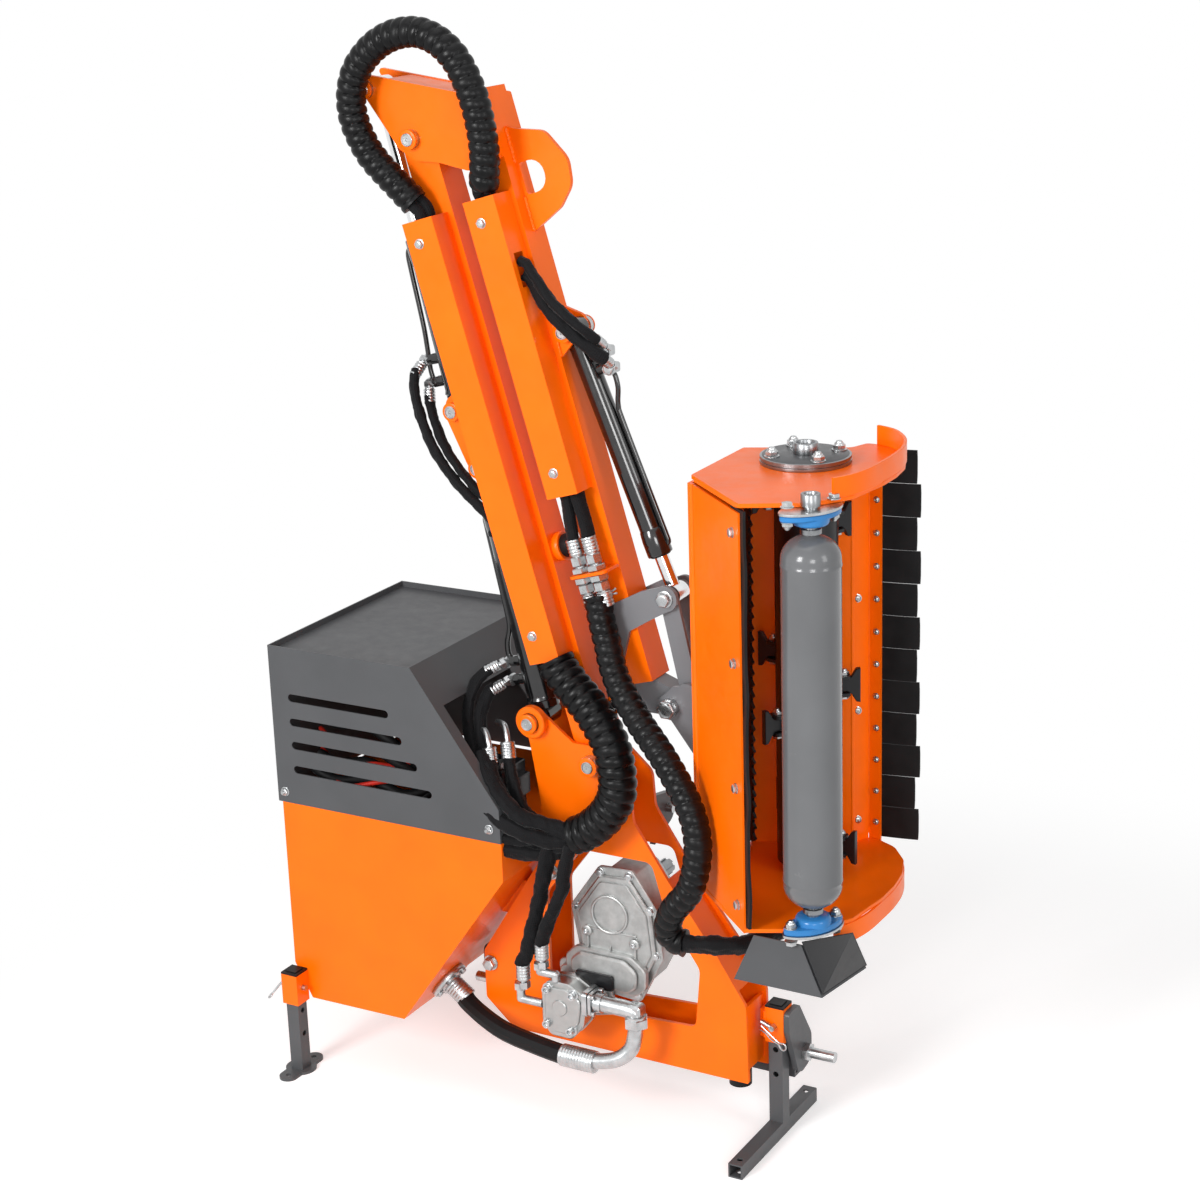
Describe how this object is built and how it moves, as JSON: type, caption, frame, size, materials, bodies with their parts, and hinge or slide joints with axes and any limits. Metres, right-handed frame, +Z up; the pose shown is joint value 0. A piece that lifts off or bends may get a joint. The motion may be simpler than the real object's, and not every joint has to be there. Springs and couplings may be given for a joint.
{
  "type": "hydraulic arm mower",
  "caption": "Tractor-mounted hydraulic arm mower with a flail head and ground roller, folded for parking; cuts verges and hedges at the end of a two-part boom.",
  "frame": {"origin": "floor under the axis of the right parking leg", "axes": "+X to the side the head folds to, +Y towards the tractor, +Z up"},
  "size_m": [1.312, 0.5851, 2.194],
  "materials": {
    "orange_paint": "gloss powder coat",
    "grey_paint": "satin powder coat",
    "dark_paint": "satin powder coat",
    "black_paint": "gloss enamel",
    "zinc_plate": "bright zinc plate",
    "chrome_rod": "ground and hard chromed",
    "ground_steel": "turned steel",
    "cast_alloy": "as cast with machined faces",
    "blue_casting": "enamelled casting",
    "black_rubber": "moulded rubber",
    "woven_sleeve": "woven nylon sleeve over hose",
    "black_plastic": "moulded plug"
  },
  "bodies": {
    "frame": {"rear_plate": "orange_paint", "front_plate": "orange_paint", "edge_bands": "orange_paint", "frame_pins": "zinc_plate", "headstock": "dark_paint", "hitch_pins": "zinc_plate", "oil_tank": "orange_paint", "tank_cover": "grey_paint", "suction_flange": "zinc_plate", "suction_hose": "black_rubber", "suction_pipe": "zinc_plate", "gearbox": "cast_alloy", "pump_adapter": "cast_alloy", "gear_pump": "cast_alloy", "pump_elbows": "zinc_plate", "pump_hoses": "woven_sleeve", "lift_hoses": "woven_sleeve", "leg_sockets": "orange_paint", "socket_caps": "black_plastic", "right_leg": "dark_paint", "foot_leg": "dark_paint", "pivot_cap": "black_rubber", "base_hose": "black_rubber"},
    "input_shaft": {"input_shaft": "ground_steel"},
    "right_lock_pin": {"right_lock_pin": "zinc_plate"},
    "left_lock_pin": {"left_lock_pin": "zinc_plate"},
    "boom": {"boom_tube": "orange_paint", "boom_cover": "orange_paint", "boom_pins": "zinc_plate", "rubber_stop": "black_rubber", "elbow_hose": "black_rubber", "reach_hoses": "woven_sleeve"},
    "lift_barrel": {"lift_barrel": "black_paint"},
    "lift_rod": {"lift_rod": "chrome_rod"},
    "dipper": {"dipper_tube": "orange_paint", "elbow_cheeks": "orange_paint", "dipper_cover": "orange_paint", "dipper_end": "grey_paint", "hose_bulkhead": "zinc_plate", "dipper_pins": "zinc_plate", "tilt_hoses": "woven_sleeve", "head_hose": "black_rubber", "bulkhead_hoses": "woven_sleeve"},
    "reach_barrel": {"reach_barrel": "black_paint"},
    "reach_rod": {"reach_rod": "chrome_rod"},
    "tilt_barrel": {"tilt_barrel": "black_paint"},
    "tilt_rod": {"tilt_rod": "chrome_rod"},
    "link_outer": {"link_outer": "grey_paint"},
    "link_inner": {"link_inner": "grey_paint"},
    "head": {"head_bracket": "grey_paint", "head_hood": "orange_paint", "head_ends": "orange_paint", "flange_bearing": "ground_steel", "head_motor": "black_paint", "motor_guard": "dark_paint", "curtain": "black_rubber", "front_flaps": "black_rubber", "roller_bearings": "blue_casting"},
    "rotor": {"rotor": "black_paint"},
    "roller": {"roller": "grey_paint"}
  },
  "joints": [
    {"name": "arm_fold", "type": "hinge", "parent": "boom", "child": "dipper", "pos_m": [-0.7153, -0.02, 1.96819], "axis": [0, -1, 0], "range_deg": [0, 95], "deforming": ["elbow_hose", "base_hose", "head_hose", "tilt_hoses", "reach_hoses", "lift_hoses"]},
    {"name": "boom_swing", "type": "hinge", "parent": "frame", "child": "boom", "pos_m": [-0.368, -0.02, 0.757], "axis": [0, -1, 0], "range_deg": [-62, 0]},
    {"name": "head_turn", "type": "hinge", "parent": "dipper", "child": "head", "pos_m": [-0.19122, -0.02, 0.90236], "axis": [0, -1, 0], "range_deg": [-100.5, 0]},
    {"name": "lift_barrel_turn", "type": "hinge", "parent": "frame", "child": "lift_barrel", "pos_m": [-0.49815, -0.02, 0.82995], "axis": [0, -1, 0], "range_deg": [-66, 0]},
    {"name": "lift_rod_slide", "type": "slide", "parent": "lift_barrel", "child": "lift_rod", "axis": [-0.2154, 0, 0.9765], "range_m": [0, 0.149]},
    {"name": "reach_barrel_turn", "type": "hinge", "parent": "boom", "child": "reach_barrel", "pos_m": [-0.66185, -0.02, 1.44256], "axis": [0, -1, 0], "range_deg": [0, 8]},
    {"name": "reach_rod_slide", "type": "slide", "parent": "reach_barrel", "child": "reach_rod", "axis": [-0.2383, 0, 0.9712], "range_m": [-0.188, 0]},
    {"name": "tilt_barrel_turn", "type": "hinge", "parent": "dipper", "child": "tilt_barrel", "pos_m": [-0.40233, -0.02, 1.61685], "axis": [0, -1, 0], "range_deg": [0, 6]},
    {"name": "tilt_rod_slide", "type": "slide", "parent": "tilt_barrel", "child": "tilt_rod", "axis": [0.3793, 0, -0.9253], "range_m": [0, 0.103]},
    {"name": "outer_link_turn", "type": "hinge", "parent": "dipper", "child": "link_outer", "pos_m": [-0.30412, -0.02, 0.89703], "axis": [0, -1, 0], "range_deg": [-28, 0]},
    {"name": "inner_link_turn", "type": "hinge", "parent": "link_outer", "child": "link_inner", "pos_m": [-0.19815, -0.02, 1.11883], "axis": [0, -1, 0], "range_deg": [-2, 0]},
    {"name": "rotor_spin", "type": "hinge", "parent": "head", "child": "rotor", "pos_m": [0.05198, 0.034, 0.97196], "axis": [0, 0, 1], "continuous": true},
    {"name": "roller_spin", "type": "hinge", "parent": "head", "child": "roller", "pos_m": [0.18398, -0.23, 0.97196], "axis": [0, 0, 1], "continuous": true},
    {"name": "input_spin", "type": "hinge", "parent": "frame", "child": "input_shaft", "pos_m": [-0.316, 0.08, 0.469], "axis": [0, 1, 0], "continuous": true},
    {"name": "right_pin_pull", "type": "slide", "parent": "frame", "child": "right_lock_pin", "axis": [0, -1, 0], "range_m": [0, 0.07]},
    {"name": "left_pin_pull", "type": "slide", "parent": "frame", "child": "left_lock_pin", "axis": [-1, 0, 0], "range_m": [0, 0.07]}
  ],
  "couplings": [
    {"joint": "boom_swing", "follows": "arm_fold", "ratio": -0.65},
    {"joint": "head_turn", "follows": "arm_fold", "ratio": -1.0526},
    {"joint": "lift_barrel_turn", "follows": "arm_fold", "ratio": -0.6905},
    {"joint": "lift_rod_slide", "follows": "arm_fold", "m_per_rad": 0.089078},
    {"joint": "reach_barrel_turn", "follows": "arm_fold", "ratio": 0.0763},
    {"joint": "reach_rod_slide", "follows": "arm_fold", "m_per_rad": -0.11292},
    {"joint": "outer_link_turn", "follows": "arm_fold", "ratio": -0.28902},
    {"joint": "inner_link_turn", "follows": "arm_fold", "ratio": -0.01716},
    {"joint": "tilt_barrel_turn", "follows": "arm_fold", "ratio": 0.05775},
    {"joint": "tilt_rod_slide", "follows": "arm_fold", "m_per_rad": 0.061682}
  ]
}
